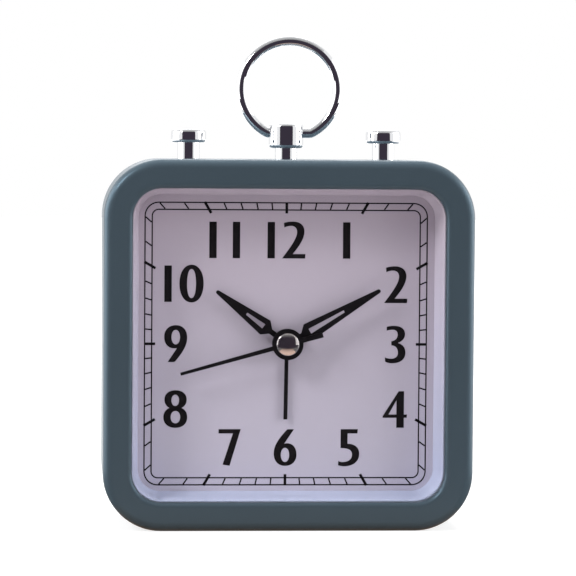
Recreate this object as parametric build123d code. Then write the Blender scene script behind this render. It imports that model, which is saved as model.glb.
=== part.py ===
from build123d import *
import os
from math import atan, atan2, cos, degrees, pi, radians, sin, sqrt

# Square pendulette alarm clock. +X right, +Z up, the dial faces -Y, z = 0 is the surface it stands on.

# Case
case_width = 85.0
case_height = 85.0
case_corner = 13.4
case_wall = 2.2
lip_depth = 2.4
bezel_width = 6.7
front_round = 2.0
seam = 0.25
lip_round = 1.2
rib_thick = 1.2

# Clearances, and how far a cut runs past what it cuts
seat_clear = 0.15
thread_clear = 0.02
slide_clear = 0.1
body_clear = 0.2
run_clear = 0.04
cut_past = 1.0

# Lens, dial ring and dial
lens_overlap = 1.2
lens_thick = 1.5
lens_chamfer = 0.2
ring_slope = 1.5
dial_thick = 1.0
socket_radius = 2.0

# Lamp above the dial ring
lamp_half = 1.6
lamp_depth = 1.6
lamp_height = 1.2
lamp_board_half = 3.5
lamp_board_depth = 4.4
lamp_board_thick = 1.0
lamp_room = 0.8

# Hands, in a stack between the lens and the dial
cap_radius = 2.65
cap_height = 0.9
cap_clear = 1.5
hand_thick = 0.4
hand_pitch = 1.2
hand_clear = 0.7
hand_press = 0.01
hand_boss = 3.6
boss_step = 0.1
hand_neck = 0.62
hand_tip = 0.46
hand_flare = 1.5
slot_rim = 0.45
slot_share = 0.3
slot_tip = 0.28
minute_length = 24.8
minute_shoulder = 5.5
minute_half = 2.1
minute_slot = 15.1
hour_length = 20.4
hour_shoulder = 6.3
hour_half = 2.0
hour_slot = 11.7
second_length = 25.6
second_tail = 8.4
second_half = 0.53
second_tip = 0.35
tail_half = 0.62
alarm_length = 17.6
alarm_half = 0.44
alarm_tip = 0.45
minute_angle = 59.7
hour_angle = 306.5
second_angle = 254.4
alarm_angle = 180.7

# Shafts, one inside the other
second_shaft = 0.5
pipe_wall = 0.5
hour_wall = 0.65
alarm_wall = 0.65

# Wheels
wheel_thick = 1.0
wheel_gap = 0.5
tooth_rise = 0.85
tooth_drop = 1.15
tip_share = 0.11
root_share = 0.30
train_module = 0.19
motion_module = 0.375
alarm_module = 0.3
cannon_teeth, motion_teeth = 12, 36
motion_leaves, hour_teeth = 10, 40
alarm_leaves, alarm_teeth = 16, 48
third_leaves, centre_teeth = 8, 64
second_leaves, third_teeth = 8, 60
middle_leaves, second_teeth = 12, 60
rotor_leaves, middle_teeth = 8, 48
rotor_direction = 30.0
arbor_radius = 0.45
pivot_radius = 0.3
setting_pivot = 0.5
setting_arbor = 0.7
setting_shaft = 1.2
shaft_step = 1.0

# Movement
base_wall = 1.2
base_corner = 2.0
frame_clear = 0.4
wheel_room = 1.2
plate_thick = 0.8
magnet_radius = 2.2
magnet_thick = 1.2
magnet_gap = 0.4
magnet_clear = 0.3
stator_thick = 0.8
stator_rim = 1.0
core_height = 2.0
core_clear = 0.05
core_end = 2.2
coil_radius = 2.4
coil_length = 13.0
coil_start = 1.0
coil_flange = 0.8
coil_wall = 0.45
coil_sink = 0.15
coil_clear = 0.3
coil_room = 1.0
board_thick = 1.0
circuit_half = 14.0
circuit_post = 1.2
circuit_post_x = 10.0
chip_radius = 2.4
chip_height = 1.0
chip_round = 0.9
chip_x = -5.0
crystal_radius = 1.0
crystal_length = 6.0
crystal_x = 6.0
bearing_boss = 0.9
frame_boss = 1.6
boss_sink = 0.6
small_screw = 0.7
small_head = 1.5
small_head_height = 0.9
small_slot = 0.4
frame_screw_depth = 5.0
mount_screw_depth = 3.4
ear_reach = 7.0
ear_half = 3.5
ear_rise = 2.5

# Rear cover, screws and knobs
cover_thick = 2.2
cover_round = 1.0
boss_radius = 2.5
screw_radius = 0.9
screw_head = 1.6
screw_length = 11.0
screw_seat = 1.0
cross_length = 2.2
cross_width = 0.5
cross_depth = 0.6
spigot_depth = 1.6
spigot_margin = 6.1
post_radius = 1.8
dial_post_inset = 9.5
dial_post_rise = 8.0
knob_radius = 6.5
knob_height = 4.2
knob_gap = 0.6
knob_chamfer = 0.6
knob_sleeve = 2.6
sleeve_clear = 0.3
sleeve_rise = 1.0
knob_bore = 1.8
knob_grips = 20
grip_radius = 0.6
grip_proud = 0.2

# Buzzer, its holder and the sound slots
buzzer_radius = 10.0
buzzer_height = 3.6
buzzer_gap = 0.6
buzzer_hole = 2.0
hole_depth = 1.0
holder_wall = 1.0
holder_height = 2.4
sound_slots = 5
sound_length = 12.0
sound_width = 1.2
sound_pitch = 3.0

# Battery
cell_radius = 7.25
cell_length = 50.5
cell_round = 0.5
cell_room = 0.6
cell_clear = 0.3
nub_radius = 2.75
nub_length = 1.2
spring_room = 6.6
contact_half = 5.4
contact_thick = 0.4
contact_coil = 3.4
contact_wire = 0.4
contact_turns = 4
bay_wall = 1.0
bay_gap = 0.6
door_thick = 1.6
door_clear = 0.15
door_chamfer = 0.3
door_lip = 1.0
lip_reach = 2.0
lip_inset = 4.0
notch_radius = 3.0
notch_rise = 1.4
notch_width = 9.0

# Alarm switch
lever_width = 3.0
lever_travel = 4.0
lever_rise = 1.3
lever_round = 0.4
lever_inset = 16.0
lever_height = 15.5
foot_side = 0.9
foot_end = 1.2
foot_thick = 1.2
housing_wall = 0.8
housing_depth = 4.0
housing_side = 1.9
housing_end = 2.3

# Buttons
button_inset = 6.4
button_rise = 3.8
button_head = 4.1
button_height = 3.4
button_travel = 2.0
head_crown = 0.4
head_round = 1.0
brim_round = 0.7
stem_radius = 2.6
stem_clear = 0.08
stem_end = 0.8
groove_depth = 0.5
rod_radius = 1.2
rod_reach = 1.2
rod_gap = 0.05
guide_radius = 4.9
guide_wall = 1.0
clip_thick = 0.8
clip_radius = 3.6
clip_mouth = 3.4
spring_length = 4.3
spring_wire = 0.22
spring_turns = 3.5
spring_gap = 0.05
switch_side = 4.5
switch_height = 2.2
plunger_radius = 1.24
plunger_height = 1.2
board_margin = 1.4

# Pendant
collar_rise = 2.6
collar_radius = 4.05
collar_height = 5.7
collar_round = 0.8
pivot_rise = 3.55
shank_radius = 2.0
shank_end = 1.0
nut_flats = 7.0
nut_height = 2.4
washer_margin = 0.8
washer_thick = 0.6

# Ring that hinges in the pendant's collar
ring_radius = 12.4
ring_wire = 1.15
ring_bend = 1.4
ring_straight = 0.6
ring_pin_length = 2.4
ring_slide = 0.75
pin_clear = 0.06

# Insets of the rounded squares from the case's outside
lens_inset = bezel_width - lens_overlap
seat_inset = lens_inset - seat_clear

# Shaft radii
minute_bore = second_shaft + run_clear
minute_pipe = minute_bore + pipe_wall
hour_bore = minute_pipe + run_clear
hour_pipe = hour_bore + hour_wall
alarm_bore = hour_pipe + run_clear
alarm_pipe = alarm_bore + alarm_wall
bush_bore = alarm_pipe + run_clear
bush_radius = bush_bore + pipe_wall


def tip_radius(teeth, module):
    return module * (teeth / 2 + tooth_rise)


def spacing(first, second, module):
    return module * (first + second) / 2


# Distances between the arbors, where two gear pairs share them
motion_reach = spacing(cannon_teeth, motion_teeth, motion_module)
hour_module = 2 * motion_reach / (motion_leaves + hour_teeth)
alarm_reach = spacing(alarm_leaves, alarm_teeth, alarm_module)
third_reach = spacing(second_leaves, third_teeth, train_module)
centre_module = 2 * third_reach / (third_leaves + centre_teeth)
middle_reach = spacing(middle_leaves, second_teeth, train_module)
rotor_reach = spacing(rotor_leaves, middle_teeth, train_module)

# Depths from the front face
layer = wheel_thick + wheel_gap
lens_s = lip_depth
ring_s = lens_s + lens_thick
second_s = ring_s + cap_clear + cap_height
minute_s = second_s + hand_pitch
hour_s = minute_s + hand_pitch
alarm_s = hour_s + hand_pitch
dial_s = alarm_s + hand_thick + hand_clear
lamp_s = (ring_s + dial_s) / 2
base_s = dial_s + dial_thick
alarm_wheel_s = base_s + base_wall + wheel_gap
hour_wheel_s = alarm_wheel_s + layer
cannon_s = hour_wheel_s + layer
plate_s = cannon_s + layer
centre_s = plate_s + plate_thick + wheel_gap
third_s = centre_s + layer
seconds_s = third_s + layer
rotor_s = seconds_s + layer
magnet_s = rotor_s + wheel_thick + magnet_clear
stator_s = magnet_s + (magnet_thick - stator_thick) / 2
stator_back = stator_s + stator_thick
bearing_s = magnet_s + magnet_thick + magnet_gap
circuit_s = bearing_s - 2 * magnet_gap
frame_s = (stator_s + stator_back) / 2 + coil_radius + coil_clear
movement_s = frame_s + base_wall
cover_s = movement_s + buzzer_gap + buzzer_height
back_s = cover_s + cover_thick
knob_s = back_s + knob_gap
cell_s = back_s - door_thick - cell_room - cell_radius

# Places
front_y = -(knob_s + knob_height) / 2
post_s = base_s + guide_radius + slide_clear
post_y = front_y + post_s
axis_z = case_height / 2
top_inside = case_height - case_wall
button_spacing = case_width - 2 * (case_corner + button_inset)
button_x = button_spacing / 2
motion_x = -motion_reach
alarm_x = alarm_reach
third_z = axis_z - third_reach
middle_z = axis_z + middle_reach
rotor_x = rotor_reach * cos(radians(rotor_direction))
rotor_z = middle_z + rotor_reach * sin(radians(rotor_direction))
coil_z = middle_z + tip_radius(middle_teeth, train_module) + coil_clear + coil_radius
coil_left = -coil_start - coil_length
movement_half = motion_reach + tip_radius(motion_teeth, motion_module) + 2 * frame_boss + coil_room
movement_top = coil_z + coil_radius + coil_room
movement_bottom = third_z - tip_radius(third_teeth, train_module) - wheel_room
circuit_top = third_z - bearing_boss - coil_clear
circuit_bottom = movement_bottom + frame_clear
circuit_z = (circuit_top + circuit_bottom) / 2
ear_x = movement_half + base_wall + ear_reach / 2
collar_z = case_height + collar_rise
pivot_z = collar_z + pivot_rise
spigot_length = case_width - 2 * (case_corner + spigot_margin)
spigot_height = case_height - 2 * (case_corner + spigot_margin)
buzzer_z = (axis_z + knob_radius + top_inside - seat_clear - spigot_depth) / 2
lever_x = case_width / 2 - lever_inset
lever_z = axis_z + lever_height
dial_post_x = case_width / 2 - dial_post_inset
boss_offset = (case_corner - lens_inset + body_clear + boss_radius) / sqrt(2)

# Heights of the pieces under each button, downwards from the case top
clip_z = top_inside - seat_clear - clip_thick
floor_z = clip_z - spring_length
rod_z = floor_z - guide_wall - rod_reach
board_z = rod_z - button_travel - rod_gap - switch_height - plunger_height


# Underside of the battery bay, clear of the rounded corners and of the bosses in them
def bay_seat():
    reach = max(0.0, bay_half + bay_wall - (case_width / 2 - case_corner))
    if reach > boss_offset - boss_radius - bay_gap:
        return case_corner - boss_offset + boss_radius + bay_gap
    return case_corner - sqrt((case_corner - case_wall) ** 2 - reach ** 2) + bay_gap


bay_half = (cell_length + spring_room) / 2 + contact_thick + body_clear
bay_floor = bay_seat() + bay_wall
bay_top = bay_floor + 2 * (cell_radius + cell_clear)
cell_z = (bay_floor + bay_top) / 2
cell_right = bay_half - contact_thick - slide_clear
cell_left = cell_right - cell_length


def outline(inset):
    size_x = case_width - 2 * inset
    size_z = case_height - 2 * inset
    return Pos(0, axis_z) * RectangleRounded(size_x, size_z, case_corner - inset)


def slab(sketch, s0, s1):
    plane = Plane(origin=(0, front_y + s0, 0), x_dir=(1, 0, 0), z_dir=(0, -1, 0))
    return extrude(plane * sketch, amount=s1 - s0, dir=(0, 1, 0))


def rod(radius, x, z, s0, s1):
    return slab(Pos(x, z) * Circle(radius), s0, s1)


def tube(outer, inner, x, z, s0, s1):
    return slab(Pos(x, z) * (Circle(outer) - Circle(inner)), s0, s1)


def post(radius, x, y, z0, z1):
    return Pos(x, y, (z0 + z1) / 2) * Cylinder(radius, z1 - z0)


def bar(radius, s, z, x0, x1):
    return Pos((x0 + x1) / 2, front_y + s, z) * Cylinder(radius, x1 - x0, rotation=(0, 90, 0))


def block(x0, x1, s0, s1, z0, z1):
    centre = Pos((x0 + x1) / 2, front_y + (s0 + s1) / 2, (z0 + z1) / 2)
    return centre * Box(x1 - x0, s1 - s0, z1 - z0)


def corner_places():
    x = case_width / 2 - case_corner + boss_offset
    z = case_height / 2 - case_corner + boss_offset
    return [(sx * x, axis_z + sz * z) for sx in (-1, 1) for sz in (-1, 1)]


def gear(teeth, module, x, z, s, toward, on_gap=False):
    pitch = 2 * pi / teeth
    tip = tip_radius(teeth, module)
    root = module * (teeth / 2 - tooth_drop)
    start = radians(toward) + (pitch / 2 if on_gap else 0)
    corners = []
    for tooth in range(teeth):
        angle = start + tooth * pitch
        for radius, share in ((root, -root_share), (tip, -tip_share), (tip, tip_share), (root, root_share)):
            turn = angle + share * pitch
            corners.append((x + radius * cos(turn), z + radius * sin(turn)))
    return slab(Polygon(*corners, align=None), s, s + wheel_thick)


def coil_spring(radius, wire, turns, rise):
    coil = Helix(rise / turns, rise, radius)
    return sweep(Plane(origin=coil @ 0, z_dir=coil % 0) * Circle(wire), path=coil, is_frenet=True)


# Case front with its bezel, the rib round the lens and dial, and the screw bosses
def make_front_case():
    body = slab(outline(0), 0, cover_s)
    body = fillet(body.faces().sort_by(Axis.Y)[0].edges(), front_round)
    body = chamfer(body.faces().sort_by(Axis.Y)[-1].edges(), seam)
    shell = body - slab(outline(case_wall), lip_depth, cover_s)
    shell -= slab(outline(bezel_width), 0, lip_depth)
    shell = fillet(shell.faces().sort_by(Axis.Y)[0].inner_wires()[0].edges(), lip_round)
    shell += slab(outline(seat_inset - rib_thick) - outline(seat_inset), lip_depth, base_s)
    for x, z in corner_places():
        shell += rod(boss_radius, x, z, lip_depth, cover_s) & body
        shell -= rod(screw_radius + thread_clear, x, z, cover_s - screw_length, cover_s)
    for x, radius in ((-button_x, stem_radius), (0, shank_radius), (button_x, stem_radius)):
        shell -= post(radius + stem_clear, x, post_y, top_inside - cut_past, case_height + cut_past)
    return shell - lamp_gap()


# Notch in the rib through which the lamp lights the dial ring
def lamp_gap():
    side = lamp_board_half + lamp_room
    deep = lamp_board_depth / 2 + lamp_room
    low = case_height - seat_inset - slide_clear
    return block(-side, side, lamp_s - deep, lamp_s + deep, low, top_inside)


def make_dial_lamp():
    deep = lamp_board_depth / 2
    low = top_inside - lamp_board_thick
    board = block(-lamp_board_half, lamp_board_half, lamp_s - deep, lamp_s + deep, low, top_inside)
    return board + block(-lamp_half, lamp_half, lamp_s - lamp_depth / 2, lamp_s + lamp_depth / 2,
                         low - lamp_height, low)


def make_lens():
    lens = slab(outline(lens_inset), lens_s, ring_s)
    return chamfer(lens.faces().sort_by(Axis.Y)[0].edges(), lens_chamfer)


# White ring that slopes in from the lens to the dial
def make_dial_ring():
    lean = degrees(atan(ring_slope / (dial_s - ring_s)))
    plane = Plane(origin=(0, front_y + ring_s, 0), x_dir=(1, 0, 0), z_dir=(0, 1, 0))
    mouth = Pos(0, -axis_z) * RectangleRounded(
        case_width - 2 * bezel_width, case_height - 2 * bezel_width, case_corner - bezel_width)
    slope = extrude(plane * mouth, amount=dial_s - ring_s, taper=lean)
    return slab(outline(lens_inset), ring_s, dial_s) - slope


def make_dial():
    dial = slab(outline(lens_inset), dial_s, base_s)
    dial -= rod(bush_radius + slide_clear, 0, axis_z, dial_s, base_s)
    for x in (-ear_x, ear_x):
        dial += tube(socket_radius, small_screw + thread_clear, x, axis_z, base_s, base_s + ear_rise)
    return dial


# Rear cover with its spigots, dial posts, battery bay, sound slots and openings
def make_rear_cover():
    cover = slab(outline(0), cover_s, back_s)
    cover = fillet(cover.faces().sort_by(Axis.Y)[-1].edges(), cover_round)
    cover = chamfer(cover.faces().sort_by(Axis.Y)[0].edges(), seam)
    cover += spigots()
    for sx in (-1, 1):
        for sz in (-1, 1):
            cover += rod(post_radius, sx * dial_post_x, axis_z + sz * dial_post_rise, base_s, cover_s)
    holder = buzzer_radius + seat_clear
    cover += tube(holder + holder_wall, holder, 0, buzzer_z, cover_s - holder_height, cover_s)
    bay_s = cell_s - cell_radius - cell_clear
    cover += bay_block(bay_wall, bay_s - bay_wall, cover_s)
    cover -= bay_block(0, bay_s, back_s)
    cover -= bay_block(bay_wall - slide_clear, back_s - door_thick, back_s)
    half = notch_width / 2
    cover -= bar(notch_radius, back_s + notch_rise, bay_top + bay_wall, -half, half)
    for x, z in corner_places():
        cover -= rod(boss_radius + body_clear, x, z, 0, cover_s)
        cover -= rod(screw_radius + slide_clear, x, z, cover_s, back_s)
        cover -= rod(screw_head + seat_clear, x, z, cover_s + screw_seat, back_s)
    for x in (motion_x, alarm_x):
        cover -= rod(knob_sleeve + sleeve_clear, x, axis_z, cover_s, back_s)
    for row in range(sound_slots):
        z = buzzer_z + sound_pitch * (row - (sound_slots - 1) / 2)
        cover -= slab(Pos(0, z) * SlotOverall(sound_length, sound_width), cover_s, back_s)
    return cover - lever_slot()


# Rails that fit inside the case's four walls
def spigots():
    inside = case_wall + seat_clear
    front = cover_s - spigot_depth
    across, upright = spigot_length / 2, spigot_height / 2
    rails = []
    for z in (inside, case_height - inside - spigot_depth):
        rails.append(block(-across, across, front, cover_s, z, z + spigot_depth))
    for x in (inside - case_width / 2, case_width / 2 - inside - spigot_depth):
        rails.append(block(x, x + spigot_depth, front, cover_s, axis_z - upright, axis_z + upright))
    return rails


def bay_block(grow, s0, s1):
    return block(-bay_half - grow, bay_half + grow, s0, s1, bay_floor - grow, bay_top + grow)


# Block round the lever's whole travel
def lever_path(side, end, s0, s1):
    half = lever_width / 2
    return block(lever_x - half - side, lever_x + half + side, s0, s1,
                 lever_z - half - end, lever_z + half + lever_travel + end)


def lever_slot():
    return lever_path(body_clear, body_clear, cover_s, back_s)


# Door that plugs into the bay's mouth, flush with the rear cover
def make_battery_door():
    front = back_s - door_thick
    door = bay_block(bay_wall - slide_clear - door_clear, front, back_s)
    door = chamfer(door.faces().sort_by(Axis.Y)[-1].edges(), door_chamfer)
    reach = bay_half - lip_inset
    for z in (bay_floor + door_clear, bay_top - door_clear - door_lip):
        door += block(-reach, reach, front - lip_reach, front, z, z + door_lip)
    return door


def make_case_screws():
    screws = []
    seat = cover_s + screw_seat
    top = back_s - slide_clear
    for x, z in corner_places():
        screw = rod(screw_radius, x, z, seat - screw_length, seat) + rod(screw_head, x, z, seat, top)
        cross = Rectangle(cross_length, cross_width) + Rectangle(cross_width, cross_length)
        screws.append(screw - slab(Pos(x, z) * cross, top - cross_depth, top))
    return Compound(screws)


# Cell with its raised positive end on the right
def make_cell():
    shoulder = cell_right - nub_length
    barrel = fillet(bar(cell_radius, cell_s, cell_z, cell_left, shoulder).edges(), cell_round)
    return barrel + bar(nub_radius, cell_s, cell_z, shoulder, cell_right)


def contact_plate(x):
    return block(x, x + contact_thick, cell_s - contact_half, cell_s + contact_half,
                 cell_z - contact_half, cell_z + contact_half)


# Plate and coil spring that push the cell to the right
def make_negative_contact():
    plate_x = -bay_half + slide_clear
    start = plate_x + contact_thick + contact_wire + spring_gap
    end = cell_left - contact_wire - spring_gap
    spring = coil_spring(contact_coil, contact_wire, contact_turns, end - start)
    return Compound([contact_plate(plate_x), Pos(start, front_y + cell_s, cell_z) * Rot(0, 90, 0) * spring])


def make_buzzer():
    buzzer = rod(buzzer_radius, 0, buzzer_z, cover_s - buzzer_height, cover_s)
    return buzzer - rod(buzzer_hole, 0, buzzer_z, cover_s - hole_depth, cover_s)


# Sliding switch: housing inside the cover, lever through its slot
def make_switch_housing():
    front = cover_s - housing_depth
    housing = lever_path(housing_side, housing_end, front, cover_s)
    return housing - lever_path(housing_side - housing_wall, housing_end - housing_wall,
                                front + housing_wall, cover_s)


def make_lever():
    half = lever_width / 2
    neck = cover_s - body_clear
    foot = block(lever_x - half - foot_side, lever_x + half + foot_side, neck - foot_thick, neck,
                 lever_z - half - foot_end, lever_z + half + foot_end)
    stalk = block(lever_x - half, lever_x + half, neck, back_s + lever_rise, lever_z - half, lever_z + half)
    return foot + fillet(stalk.edges().group_by(Axis.Y)[-1], lever_round)


# Pendant: shank through the case top, stem, and barrel collar with a cross hole
def make_pendant():
    barrel = post(collar_radius, 0, post_y, collar_z, collar_z + collar_height)
    pendant = fillet(barrel.edges(), collar_round)
    pendant += post(stem_radius, 0, post_y, case_height, collar_z + collar_round)
    pendant += post(shank_radius, 0, post_y, top_inside - washer_thick - nut_height - shank_end, case_height)
    side = collar_radius + cut_past
    return pendant - bar(ring_wire + pin_clear, post_s, pivot_z, -side, side)


def make_pendant_washer():
    low = top_inside - washer_thick
    washer = post(nut_flats / 2 + washer_margin, 0, post_y, low, top_inside)
    return washer - post(shank_radius + slide_clear, 0, post_y, low, top_inside)


def make_pendant_nut():
    bottom = top_inside - washer_thick - nut_height
    sketch = RegularPolygon(nut_flats / 2, 6, major_radius=False) - Circle(shank_radius + thread_clear)
    return Pos(0, post_y, bottom) * extrude(sketch, amount=nut_height)


# Round-wire bow whose ends turn in and run in the collar's cross hole, slid to one side
def make_ring():
    bow = ring_radius - ring_wire
    bend_x = collar_radius + ring_straight
    drop = sqrt((bow - ring_bend) ** 2 - bend_x ** 2)
    centre_z = pivot_z + ring_bend + drop
    lean = atan2(-drop, bend_x)
    middle = (lean - pi / 2) / 2

    def half_turn(side):
        bend_z = centre_z - drop
        start = Vector(side * (collar_radius - ring_pin_length), post_y, pivot_z)
        straight = Vector(side * bend_x, post_y, pivot_z)
        through = Vector(side * (bend_x + ring_bend * cos(middle)), post_y, bend_z + ring_bend * sin(middle))
        end = Vector(side * bow * cos(lean), post_y, centre_z + bow * sin(lean))
        return start, straight, through, end

    a0, a1, a2, a3 = half_turn(1)
    b0, b1, b2, b3 = half_turn(-1)
    top = Vector(0, post_y, centre_z + bow)
    path = Wire([Line(a0, a1), ThreePointArc(a1, a2, a3), ThreePointArc(a3, top, b3),
                 ThreePointArc(b3, b2, b1), Line(b1, b0)])
    return Pos(ring_slide) * sweep(Plane(origin=a0, z_dir=(1, 0, 0)) * Circle(ring_wire), path=path)


def make_button(x):
    head_z = case_height + button_rise
    head = post(button_head, x, post_y, head_z, head_z + button_height)
    crown = (button_head ** 2 + head_crown ** 2) / (2 * head_crown)
    head &= Pos(x, post_y, head_z + button_height - crown) * Sphere(crown)
    head = fillet(head.edges().filter_by(lambda edge: edge.is_closed).sort_by(Axis.Z)[-1], head_round)
    head = fillet(head.edges().group_by(Axis.Z)[0], brim_round)
    button = head + post(stem_radius, x, post_y, clip_z - stem_end, head_z)
    groove = post(stem_radius + cut_past, x, post_y, clip_z, clip_z + clip_thick)
    button -= groove - post(stem_radius - groove_depth, x, post_y, clip_z, clip_z + clip_thick)
    return button + post(rod_radius, x, post_y, rod_z, clip_z)


def make_clip(x):
    clip = post(clip_radius, x, post_y, clip_z, clip_z + clip_thick)
    clip -= post(stem_radius - groove_depth + thread_clear, x, post_y, clip_z, clip_z + clip_thick)
    mouth = clip_mouth / 2
    return clip - block(x - mouth, x + mouth, post_s, post_s + clip_radius, clip_z, clip_z + clip_thick)


def make_button_spring(x):
    rise = spring_length - 2 * (spring_wire + spring_gap)
    spring = coil_spring((stem_radius + clip_radius) / 2, spring_wire, spring_turns, rise)
    return Pos(x, post_y, floor_z + spring_wire + spring_gap) * spring


# Tube under the case top, with a floor that carries the spring
def make_guide(x):
    bore = guide_radius - guide_wall
    guide = post(guide_radius, x, post_y, board_z, top_inside)
    guide -= post(bore, x, post_y, floor_z, top_inside)
    guide -= post(bore, x, post_y, board_z, floor_z - guide_wall)
    return guide - post(rod_radius + slide_clear, x, post_y, board_z, top_inside)


def make_button_board():
    half = button_x + guide_radius + board_margin
    depth = guide_radius - body_clear
    return block(-half, half, post_s - depth, post_s + depth, board_z - board_thick, board_z)


def make_tact_switch(x):
    half = switch_side / 2
    top = board_z + switch_height
    body = block(x - half, x + half, post_s - half, post_s + half, board_z, top)
    return body + post(plunger_radius, x, post_y, top, top + plunger_height)


# Rounded rectangle of the movement's inside, grown outwards
def movement_outline(grow):
    size_x = 2 * (movement_half + grow)
    size_z = movement_top - movement_bottom + 2 * grow
    return Pos(0, (movement_top + movement_bottom) / 2) * RectangleRounded(size_x, size_z, base_corner + grow)


def pillar_places():
    inset = frame_boss + frame_clear
    x = movement_half - inset
    return [(sx * x, z) for sx in (-1, 1) for z in (movement_bottom + inset, movement_top - inset)]


def frame_screw_places():
    x = movement_half - frame_boss + boss_sink
    return [(-x, axis_z), (x, axis_z)]


# Tub that holds the wheels, with a bush through the dial and two ears screwed to it
def make_movement_base():
    inside = base_s + base_wall
    base = slab(movement_outline(base_wall), base_s, frame_s)
    base -= slab(movement_outline(0), inside, frame_s)
    base += rod(bush_radius, 0, axis_z, dial_s + body_clear, base_s)
    for x, z in pillar_places():
        base += rod(frame_boss, x, z, inside, plate_s)
    for x, z in frame_screw_places():
        base += rod(frame_boss, x, z, inside, frame_s)
        base -= rod(small_screw + thread_clear, x, z, frame_s - frame_screw_depth - cut_past, frame_s)
    for side in (-1, 1):
        near, far = sorted((side * (movement_half + base_wall), side * (ear_x + ear_reach / 2)))
        ear_s = base_s + ear_rise
        ear = block(near, far, ear_s, ear_s + base_wall, axis_z - ear_half, axis_z + ear_half)
        base += ear - rod(small_screw + slide_clear, side * ear_x, axis_z, base_s, frame_s)
    base -= rod(bush_bore, 0, axis_z, dial_s, inside)
    for x in (motion_x, alarm_x):
        base -= rod(setting_pivot + run_clear, x, axis_z, base_s, inside)
    return base


def make_train_plate():
    plate = slab(movement_outline(-body_clear), plate_s, plate_s + plate_thick)
    plate -= rod(minute_pipe + body_clear, 0, axis_z, plate_s, centre_s)
    for x in (motion_x, alarm_x):
        plate -= rod(setting_arbor + run_clear, x, axis_z, plate_s, centre_s)
    for x, z in ((0, third_z), (0, middle_z), (rotor_x, rotor_z)):
        plate -= rod(pivot_radius + run_clear, x, z, plate_s, centre_s)
    for x, z in frame_screw_places():
        plate -= rod(frame_boss + seat_clear, x, z, plate_s, centre_s)
    return plate


# Plate at the back of the movement, with bearings and the posts that hold the pieces inside
def make_movement_cover():
    cover = slab(movement_outline(base_wall), frame_s, movement_s)
    for x, z in pillar_places():
        cover += rod(frame_boss, x, z, plate_s + plate_thick, frame_s)
    for x, z in ((0, axis_z), (0, third_z), (0, middle_z), (rotor_x, rotor_z)):
        cover += rod(bearing_boss, x, z, bearing_s, frame_s)
        cover -= rod(pivot_radius + run_clear, x, z, bearing_s, frame_s + body_clear)
    for x in (rotor_x, coil_left - core_end / 2):
        cover += rod(bearing_boss, x, coil_z, stator_back, frame_s)
    for x in (-circuit_post_x, circuit_post_x):
        cover += rod(circuit_post, x, circuit_z, circuit_s + board_thick, frame_s)
    for x in (motion_x, alarm_x):
        cover -= rod(setting_shaft + run_clear, x, axis_z, frame_s, movement_s)
    for x, z in frame_screw_places():
        cover -= rod(small_screw + slide_clear, x, z, frame_s, movement_s)
    return cover


def small_screws(places, s, length):
    screws = []
    top = s + small_head_height
    for x, z in places:
        screw = rod(small_screw, x, z, s - length, s) + rod(small_head, x, z, s, top)
        screws.append(screw - slab(Pos(x, z) * Rectangle(2 * small_head, small_slot), top - small_slot, top))
    return Compound(screws)


# Circuit board in the lower part of the movement
def make_circuit_board():
    return block(-circuit_half, circuit_half, circuit_s, circuit_s + board_thick, circuit_bottom, circuit_top)


def make_chip():
    chip = rod(chip_radius, chip_x, circuit_z, circuit_s - chip_height, circuit_s)
    return fillet(chip.edges().group_by(Axis.Y)[0], chip_round)


def make_crystal():
    half = crystal_length / 2
    return bar(crystal_radius, circuit_s - crystal_radius, circuit_z, crystal_x - half, crystal_x + half)


# Stepping motor: stator round the rotor, with its core through the coil
def make_stator():
    half = magnet_radius + magnet_gap + stator_rim
    low, high = coil_z - core_height / 2, coil_z + core_height / 2
    stator = block(rotor_x - half, rotor_x + half, stator_s, stator_back, rotor_z - half, high)
    stator += block(coil_left - core_end, rotor_x + half, stator_s, stator_back, low, high)
    return stator - rod(magnet_radius + magnet_gap, rotor_x, rotor_z, stator_s, stator_back)


def coil_bar(radius, x0, x1):
    return bar(radius, (stator_s + stator_back) / 2, coil_z, x0, x1)


def make_coil_bobbin():
    bobbin = coil_bar(core_height / 2 + coil_wall, coil_left, -coil_start)
    bobbin += coil_bar(coil_radius, coil_left, coil_left + coil_flange)
    bobbin += coil_bar(coil_radius, -coil_start - coil_flange, -coil_start)
    core = core_height / 2 + core_clear
    return bobbin - block(coil_left, -coil_start, stator_s - core_clear, stator_back + core_clear,
                          coil_z - core, coil_z + core)


def make_coil_winding():
    left, right = coil_left + coil_flange, -coil_start - coil_flange
    return coil_bar(coil_radius - coil_sink, left, right) - coil_bar(core_height / 2 + coil_wall, left, right)


# Arbor of the seconds train, with a pivot in the train plate and one in the movement cover
def train_arbor(x, z):
    front, back = plate_s + plate_thick + slide_clear, bearing_s - slide_clear
    arbor = rod(arbor_radius, x, z, front, back)
    arbor += rod(pivot_radius, x, z, plate_s + slide_clear, front)
    return arbor + rod(pivot_radius, x, z, back, frame_s + slide_clear)


def make_rotor():
    rotor = train_arbor(rotor_x, rotor_z)
    rotor += gear(rotor_leaves, train_module, rotor_x, rotor_z, rotor_s, rotor_direction + 180, on_gap=True)
    return rotor + rod(magnet_radius, rotor_x, rotor_z, magnet_s, magnet_s + magnet_thick)


def make_middle_wheel():
    wheel = train_arbor(0, middle_z)
    wheel += gear(middle_teeth, train_module, 0, middle_z, rotor_s, rotor_direction)
    return wheel + gear(middle_leaves, train_module, 0, middle_z, seconds_s, 270, on_gap=True)


def make_third_wheel():
    wheel = train_arbor(0, third_z)
    wheel += gear(third_teeth, train_module, 0, third_z, third_s, 90, on_gap=True)
    return wheel + gear(third_leaves, centre_module, 0, third_z, centre_s, 90, on_gap=True)


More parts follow.
